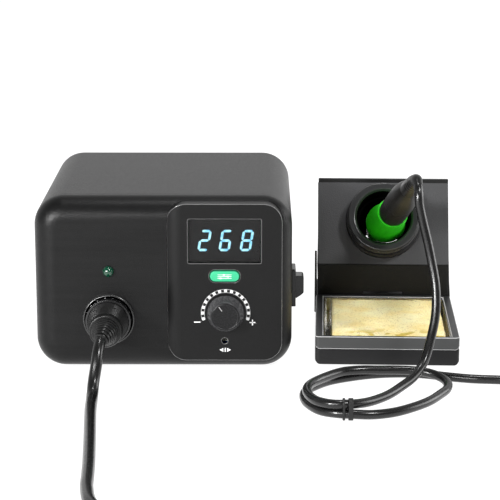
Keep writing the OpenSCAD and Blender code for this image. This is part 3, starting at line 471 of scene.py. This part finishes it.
def smooth_route(points, step):
    """Catmull-Rom curve through the points, about one point every step millimetres."""
    p = [Vector(q) for q in points]
    p = [2 * p[0] - p[1], *p, 2 * p[-1] - p[-2]]
    out = []
    for a, b, c, d in zip(p, p[1:], p[2:], p[3:]):
        count = max(1, round((c - b).length / step))
        for k in range(count):
            t = k / count
            out.append(0.5 * (2 * b + (c - a) * t + (2 * a - 5 * b + 4 * c - d) * t * t
                              + (3 * b - a - 3 * c + d) * t ** 3))
    out.append(p[-2])
    return out


def sweep(bm, route, radii, sides=20):
    """Round tube along a route in millimetres, with a radius at each point."""
    rings, side = [], Vector((1, 0, 0))
    for i, (point, r) in enumerate(zip(route, radii)):
        t = (route[min(i + 1, len(route) - 1)] - route[max(i - 1, 0)]).normalized()
        side = (side - side.dot(t) * t).normalized()
        other = t.cross(side)
        rings.append([bm.verts.new((point + r * (math.cos(a) * side + math.sin(a) * other)) * MM)
                      for a in (2 * math.pi * k / sides for k in range(sides))])
    skin(bm, rings)


def moved(x, y, z):
    """Frame moved to a point in millimetres."""
    return Matrix.Translation(Vector((x, y, z)) * MM)


def rotated(degrees, axis):
    """Frame turned about one of its axes."""
    return Matrix.Rotation(math.radians(degrees), 4, axis)


def facing_front(x, y, z):
    """Frame whose +Z comes out of the front at a point in millimetres."""
    return moved(x, y, z) @ rotated(90, "X")


def all_smooth(obj):
    """Shades every face of a mesh smooth."""
    for face in obj.data.polygons:
        face.use_smooth = True


# ---------------------------------------------------------------- the lead

LEAD_STEP = 2.0
lead = smooth_route(BOOT[3:-1] + DROP[:-1] + RUN, LEAD_STEP)
bm = bmesh.new()
# the lead thickens where it turns back towards the plug, lying on the table
lead_r, turned_back = [], False
for p in lead:
    turned_back = turned_back or (p.x < 30 and p.y < -290)
    lead_r.append(min(PLUG_END_D / 2, p.z) if turned_back else CORD_D / 2)
sweep(bm, lead, lead_r, 20)
cord = made("iron_lead", bm, "cord_black", None, ("cord_drop", "cord_run"), smooth=False)
all_smooth(cord)
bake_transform(cord)

# ---------------------------------------------------------------- plug

JACK = (-29.1, -68, 29.9)


def ribbed(profile, first, last, pitch, depth):
    """Puts rings of a pitch and depth on the stretch of a profile from one height to another."""
    out = []
    for (r0, h0), (r1, h1) in zip(profile, profile[1:]):
        out.append((r0, h0))
        if h1 <= first or h0 >= last or h1 - h0 < 1e-6:
            continue
        h = max(h0, first)
        while h + pitch <= min(h1, last) + 1e-6:
            for share, drop in ((0.08, 0), (0.3, 1), (0.62, 1), (0.86, 0)):
                at = h + share * pitch
                r = r0 + (r1 - r0) * (at - h0) / (h1 - h0)
                out.append((r - drop * depth, at))
            h += pitch
    out.append(profile[-1])
    return out


PLUG = [(9.8, 1.7), (10.85, 1.9), (11, 2.4), (11, 5.5), (8.9, 23.4), (8.75, 24.2), (8.4, 24.8),
        (7.9, 25), (1, 25)]
PLUG_BACK = [(9.8, 1.7), (9.8, 5.4), (1, 5.5)]
bm = bmesh.new()
lathe(bm, facing_front(*JACK), ribbed(PLUG, first=6, last=23, pitch=1.6, depth=0.5))
lathe(bm, facing_front(*JACK), PLUG_BACK, 48)
made("plug_shell", bm, "plug_rubber", "root")
RELIEF = smooth_route([(-29.1, -92.6, 29.9), (-29.15, -96, 29.8), (-29.6, -99, 29.4), (-30.2, -101.6, 28.8),
                       (-30.9, -103.6, 28)], 0.1)
GROOVES, GROOVE_DEPTH = 7.5, 0.75


def relief_radius(k):
    """Radius of the plug's strain relief at a share of its length: tapered, grooved, round at the tip."""
    r = 7.9 - 4.3 * k ** 1.25 if k < 0.97 else 3.7 - 20 * (k - 0.97)
    grooved = 0.03 < k < 0.93 and (k * GROOVES) % 1 > 0.5
    return r - GROOVE_DEPTH if grooved else r


bm = bmesh.new()
sweep(bm, RELIEF, [relief_radius(i / (len(RELIEF) - 1)) for i in range(len(RELIEF))], 48)
plug_relief = made("plug_relief", bm, "plug_rubber", "root", ("plug_boot",))

# ---------------------------------------------------------------- iron

BOOT_STEP = 0.55
RING_PITCH, RING_DEPTH = 3.2, 0.2
boot = smooth_route(BOOT[:5], BOOT_STEP)


def boot_radius(i):
    """Radius of the iron's strain relief at a point of its route: tapered, with shallow rings."""
    s = i / (len(boot) - 1) * (len(BOOT_R) - 1)
    k = min(int(s), len(BOOT_R) - 2)
    r = BOOT_R[k] + (BOOT_R[k + 1] - BOOT_R[k]) * (s - k)
    along = i * BOOT_STEP
    if 9 < along < 24:
        r -= RING_DEPTH * (0.5 - 0.5 * math.cos(2 * math.pi * along / RING_PITCH)) ** 2
    return r


bm = bmesh.new()
sweep(bm, boot, [boot_radius(i) for i in range(len(boot))], 28)
boot_piece = made("iron_relief", bm, "plug_rubber", "iron", ("iron_boot",))

# ---------------------------------------------------------------- knob

KNOB = (33.5, -72, 34.2)
KNOB_SHAPE = [(1, 0), (9.4, 0), (9.8, 0.25), (9.9, 0.5), (9.9, 0.9), (9.75, 1.3), (9.2, 3.2), (8.6, 5.2),
              (8.3, 6.2), (8.1, 6.7), (7.9, 7.2), (7.6, 7.6), (7.2, 7.85), (6.9, 7.92), (6.7, 7.85),
              (6.5, 7.65), (6.2, 7.6), (1, 7.6)]
FLUTES, FLUTE_DEPTH = 44, 0.16
POINTER_AT = -36


def flutes(a, r, h):
    """Fine gripping flutes on the knob's cone."""
    if r < 7.2 or h < 0.9 or h > 6.6:
        return r
    return r - FLUTE_DEPTH * (0.5 + 0.5 * math.cos(FLUTES * a))


bm = bmesh.new()
lathe(bm, facing_front(*KNOB), KNOB_SHAPE, 6 * FLUTES, flutes)
made("knob_cap", bm, "knob", "knob", ("temp_knob",))


def strip(bm, place, points, low, high):
    """Flat outline in millimetres raised from one height to another in a frame."""
    rings = [[bm.verts.new(place @ (Vector((x, y, h)) * MM)) for x, y in points] for h in (low, high)]
    skin(bm, rings)


def turned(points, degrees):
    """Points turned clockwise by an angle."""
    c, s = math.cos(math.radians(-degrees)), math.sin(math.radians(-degrees))
    return [(x * c - y * s, x * s + y * c) for x, y in points]


def oblong(w, h, dx=0.0, dy=0.0, corner=0.0, steps=5):
    """Outline of a rectangle with round corners, centred on a point."""
    if not corner:
        return [(dx + sx * w / 2, dy + sy * h / 2) for sx, sy in ((-1, -1), (1, -1), (1, 1), (-1, 1))]
    out = []
    for k, (sx, sy) in enumerate(((1, -1), (1, 1), (-1, 1), (-1, -1))):
        cx, cy = dx + sx * (w / 2 - corner), dy + sy * (h / 2 - corner)
        for j in range(steps + 1):
            a = math.radians(-90 + 90 * k + 90 * j / steps)
            out.append((cx + corner * math.cos(a), cy + corner * math.sin(a)))
    return out


# pointer groove drawn as a dark strip, painted shade in the groove, with a white strip along one side, a
# painted highlight on its edge
bm = bmesh.new()
strip(bm, facing_front(*KNOB), turned(oblong(0.75, 2.9, 0, 5.0, 0.3), POINTER_AT), 7.55, 7.68)
made("knob_pointer_groove_shade", bm, "print_dark", "knob")
bm = bmesh.new()
strip(bm, facing_front(*KNOB), turned(oblong(0.22, 2.7, 0.42, 5.0), POINTER_AT), 7.6, 7.78)
made("knob_pointer_edge_highlight", bm, "print_white", "knob")

# ---------------------------------------------------------------- marks on the panel

FACE = facing_front(KNOB[0], -71.5, KNOB[2])
# depth and height of a printed mark, and of a dark one between the light ones
PRINT, DARK_PRINT = (-0.02, 0.05), (-0.02, 0.04)
# the scale's radii, and the half width of its blocks and the pitch between them in degrees
SCALE_IN, SCALE_OUT, BLOCK_HALF, BLOCK_PITCH = 11.5, 12.95, 3.7, 15
SYMBOL_X, SYMBOL_Y = -0.3, -20.4


def arc_band(inner, outer, first, last, steps):
    """Outline of a band round the knob between two clockwise angles."""
    angles = [math.radians(first + (last - first) * k / steps) for k in range(steps + 1)]
    return ([(outer * math.sin(a), outer * math.cos(a)) for a in angles]
            + [(inner * math.sin(a), inner * math.cos(a)) for a in reversed(angles)])


bm = bmesh.new()
for inner, outer in ((11.3, 11.42), (13.0, 13.12)):
    strip(bm, FACE, arc_band(inner, outer, -107, 107, 84), *PRINT)
for k in range(15):
    middle = -105 + BLOCK_PITCH * k
    strip(bm, FACE, arc_band(SCALE_IN, SCALE_OUT, middle - BLOCK_HALF, middle + BLOCK_HALF, 6), *PRINT)
strip(bm, FACE, oblong(3.4, 0.62, -15.2, -5.0), *PRINT)
strip(bm, FACE, oblong(3.2, 0.62, 14.3, -5.2), *PRINT)
strip(bm, FACE, oblong(0.62, 3.2, 14.3, -5.2), *PRINT)
# adjustment symbol below the trimmer's hole: a bar between two arrowheads
strip(bm, FACE, oblong(0.5, 2.3, SYMBOL_X, SYMBOL_Y), *PRINT)
for side in (-1, 1):
    root_x = SYMBOL_X + side * 1.0
    head = [(SYMBOL_X + side * 3.1, SYMBOL_Y), (root_x, SYMBOL_Y + 1.1), (root_x, SYMBOL_Y - 1.1)]
    strip(bm, FACE, head[::side], *PRINT)
made("panel_marks", bm, "print_white", "root", smooth=False)
bm = bmesh.new()
for k in range(14):
    middle = -97.5 + BLOCK_PITCH * k
    strip(bm, FACE, arc_band(SCALE_IN, SCALE_OUT, middle - BLOCK_HALF, middle + BLOCK_HALF, 6), *DARK_PRINT)
made("panel_marks_dark", bm, "print_dark", "root", smooth=False)

# set button: softly rounded cap on its flange, with a slider symbol
SET_FACE = facing_front(33, -72.5, 54.5)
bm = bmesh.new()
strip(bm, SET_FACE, oblong(15.5, 5.5, corner=2.7, steps=10), -4.6, 0)
strip(bm, SET_FACE, oblong(18.6, 9, corner=4.4, steps=10), -5.4, -4.4)
made("set_cap", bm, "mint_button", "button", ("set_button",), bevel=0.35)
bm = bmesh.new()
for row, knob_at in ((-0.95, -2.1), (0.0, 1.8), (0.95, -0.4)):
    strip(bm, SET_FACE, oblong(7.4, 0.3, 0, row), *PRINT)
    strip(bm, SET_FACE, oblong(1.1, 0.72, knob_at, row), -0.02, 0.06)
made("set_symbol", bm, "print_white", "button", smooth=False)

# mark on the rocker's face
bm = bmesh.new()
strip(bm, moved(75.72, -40, 43.0) @ rotated(90, "Y"), oblong(3.4, 0.5), *PRINT)
made("rocker_mark", bm, "print_white", "rocker", smooth=False)

# ---------------------------------------------------------------- stand

STAND_AT, STAND_TURN = (124.05, 32, 0), -2
FOLD_Z, PLATE_LEAN, RING_UP = 35.9, -28, 25.5
stand_place = moved(*STAND_AT) @ rotated(STAND_TURN, "Z")
plate_place = stand_place @ moved(0, 0, FOLD_Z) @ rotated(PLATE_LEAN, "X")
ring_place = plate_place @ moved(0, 0, RING_UP) @ rotated(90, "X")

# near-black sheet with no shine inside the ring's bore, closing the slot round the guard tube: painted
# shade for the dark hole
bm = bmesh.new()
lathe(bm, ring_place, [(15.95, 10.6), (15.5, 10.3), (15.45, -1.9), (15.95, -1.9)], caps=False)
made("ring_bore_shade", bm, "bore_painted_shade", "root")

# near-black sheet on the folded lip along the top of the plate: painted shade on the lip's face
bm = bmesh.new()
strip(bm, stand_place @ facing_front(0, 23.42, 80.2), oblong(76.5, 3.3), 0, 0.12)
made("plate_lip_shade", bm, "lip_painted_shade", "root")


SPONGE_LOW, SPONGE_HIGH, SPONGE_CELLS = (-30.0, -86.8, 7.9), (32.2, -5.9, 16.4), (64, 76, 8)


def sponge_mesh():
    """Sponge block: crowned and pitted top, soft edges, a torn back edge."""
    (x0, y0, z0), (x1, y1, z1), (nx, ny, nz) = SPONGE_LOW, SPONGE_HIGH, SPONGE_CELLS
    bm = bmesh.new()
    grid = {}

    def corner(i, j, k):
        key = (i, j, k)
        if key not in grid:
            u, v, w = i / nx, j / ny, k / nz
            x, y, z = x0 + (x1 - x0) * u, y0 + (y1 - y0) * v, z0 + (z1 - z0) * w
            rag = noise.noise(Vector((x * 0.33, w * 3.0, 4.0)))
            rag += 0.6 * noise.noise(Vector((x * 0.9, w * 5.0, 9.0)))
            y -= max(0.0, 1.4 + 1.5 * rag) * max(0.0, (v - 0.93) / 0.07)
            edge = min(u, 1 - u) * (x1 - x0)
            ends = min(v, 1 - v) * (y1 - y0)
            fall = max(0.0, 1 - edge / 1.1) ** 2 + max(0.0, 1 - ends / 1.1) ** 2
            if k == nz:
                z -= 0.5 * min(1.0, fall)
                z += 0.22 * noise.noise(Vector((x * 0.12, y * 0.12, 1.0)))
                z += 0.16 * noise.noise(Vector((x * 0.8, y * 0.8, 2.0))) - 0.1
            pull = 0.25 * noise.noise(Vector((x * 0.3, y * 0.3, z * 0.5))) - 0.2
            if i in (0, nx):
                x += pull if i else -pull
            if j == 0:
                y -= pull
            grid[key] = bm.verts.new(stand_place @ (Vector((x, y, z)) * MM))
        return grid[key]

    def sheet(a_count, b_count, at, flip):
        for a in range(a_count):
            for b in range(b_count):
                places = ((a, b), (a + 1, b), (a + 1, b + 1), (a, b + 1))
                quad = [corner(*at(*place)) for place in places]
                bm.faces.new(quad[::-1] if flip else quad)

    sheet(nx, ny, lambda a, b: (a, b, nz), False)
    sheet(nx, ny, lambda a, b: (a, b, 0), True)
    sheet(nx, nz, lambda a, b: (a, 0, b), False)
    sheet(nx, nz, lambda a, b: (a, ny, b), True)
    sheet(ny, nz, lambda a, b: (0, a, b), True)
    sheet(ny, nz, lambda a, b: (nx, a, b), False)
    return bm


sponge = made("sponge_pad_yellow", sponge_mesh(), "sponge_yellow", "sponge", ("sponge",),
              smooth=False)
all_smooth(sponge)

# ---------------------------------------------------------------- floor and light

bm = bmesh.new()
bmesh.ops.create_grid(bm, x_segments=2, y_segments=2, size=6)
floor_mesh = bpy.data.meshes.new("floor")
bm.to_mesh(floor_mesh)
bm.free()
floor = bpy.data.objects.new("floor", floor_mesh)
scene.collection.objects.link(floor)
look = Nodes("floor")
look.join(look.blend(look.spread(look.noise(0.4), 0.3, 0.7, 0, 1), (0.2, 0.2, 0.2), (0.22, 0.22, 0.22)),
          look.shader.inputs["Base Color"])
look.shader.inputs["Roughness"].default_value = 0.8
look.shader.inputs["Emission Color"].default_value = (1, 1, 1, 1)
look.shader.inputs["Emission Strength"].default_value = 0.95
floor_mesh.materials.append(look.material)

# sky: brighter behind the object than in front, and dimmer overhead
world = bpy.data.worlds.new("studio")
scene.world = world
world.use_nodes = True
sky = world.node_tree
where = sky.nodes.new("ShaderNodeTexCoord")
parts = sky.nodes.new("ShaderNodeSeparateXYZ")
sky.links.new(where.outputs["Generated"], parts.inputs["Vector"])
level = sky.nodes.new("ShaderNodeMath")
level.operation = "MULTIPLY"
for slot, axis, limits in ((0, "Y", (-0.5, 1.0, 0.16, 0.85)), (1, "Z", (0.25, 0.95, 1.0, 0.5))):
    ramp = sky.nodes.new("ShaderNodeMapRange")
    ramp.interpolation_type = "SMOOTHSTEP"
    for key, number in zip(RANGE, limits):
        ramp.inputs[key].default_value = number
    sky.links.new(parts.outputs[axis], ramp.inputs["Value"])
    sky.links.new(ramp.outputs["Result"], level.inputs[slot])
sky.links.new(level.outputs["Value"], sky.nodes["Background"].inputs["Strength"])
sky.nodes["Background"].inputs["Color"].default_value = (1, 1, 1, 1)


def softbox(name, at, target, size, power):
    """Rectangular light aimed at a point, in metres and watts."""
    data = bpy.data.lights.new(name, "AREA")
    data.shape, data.size, data.size_y, data.energy = "RECTANGLE", size[0], size[1], power
    lamp = bpy.data.objects.new(name, data)
    scene.collection.objects.link(lamp)
    lamp.location = at
    lamp.rotation_euler = (Vector(target) - Vector(at)).to_track_quat("-Z", "Y").to_euler()


softbox("front_strip", (-0.5, -1.4, 0.58), (-0.05, -0.06, 0.09), (0.7, 0.25), 10)
softbox("left_high", (-0.87, -1.03, 0.42), (-0.06, -0.06, 0.08), (0.2, 0.2), 17)
softbox("right_front", (0.75, -0.9, 1.2), (0.125, 0.03, 0.06), (0.25, 0.25), 12)
softbox("right_card", (1.3, 0.25, 0.35), (0.1, 0, 0.05), (0.9, 0.6), 7)
softbox("sponge_top", (0.13, -0.02, 1.6), (0.125, -0.02, 0), (0.25, 0.25), 5)

scene.view_settings.view_transform = "Standard"
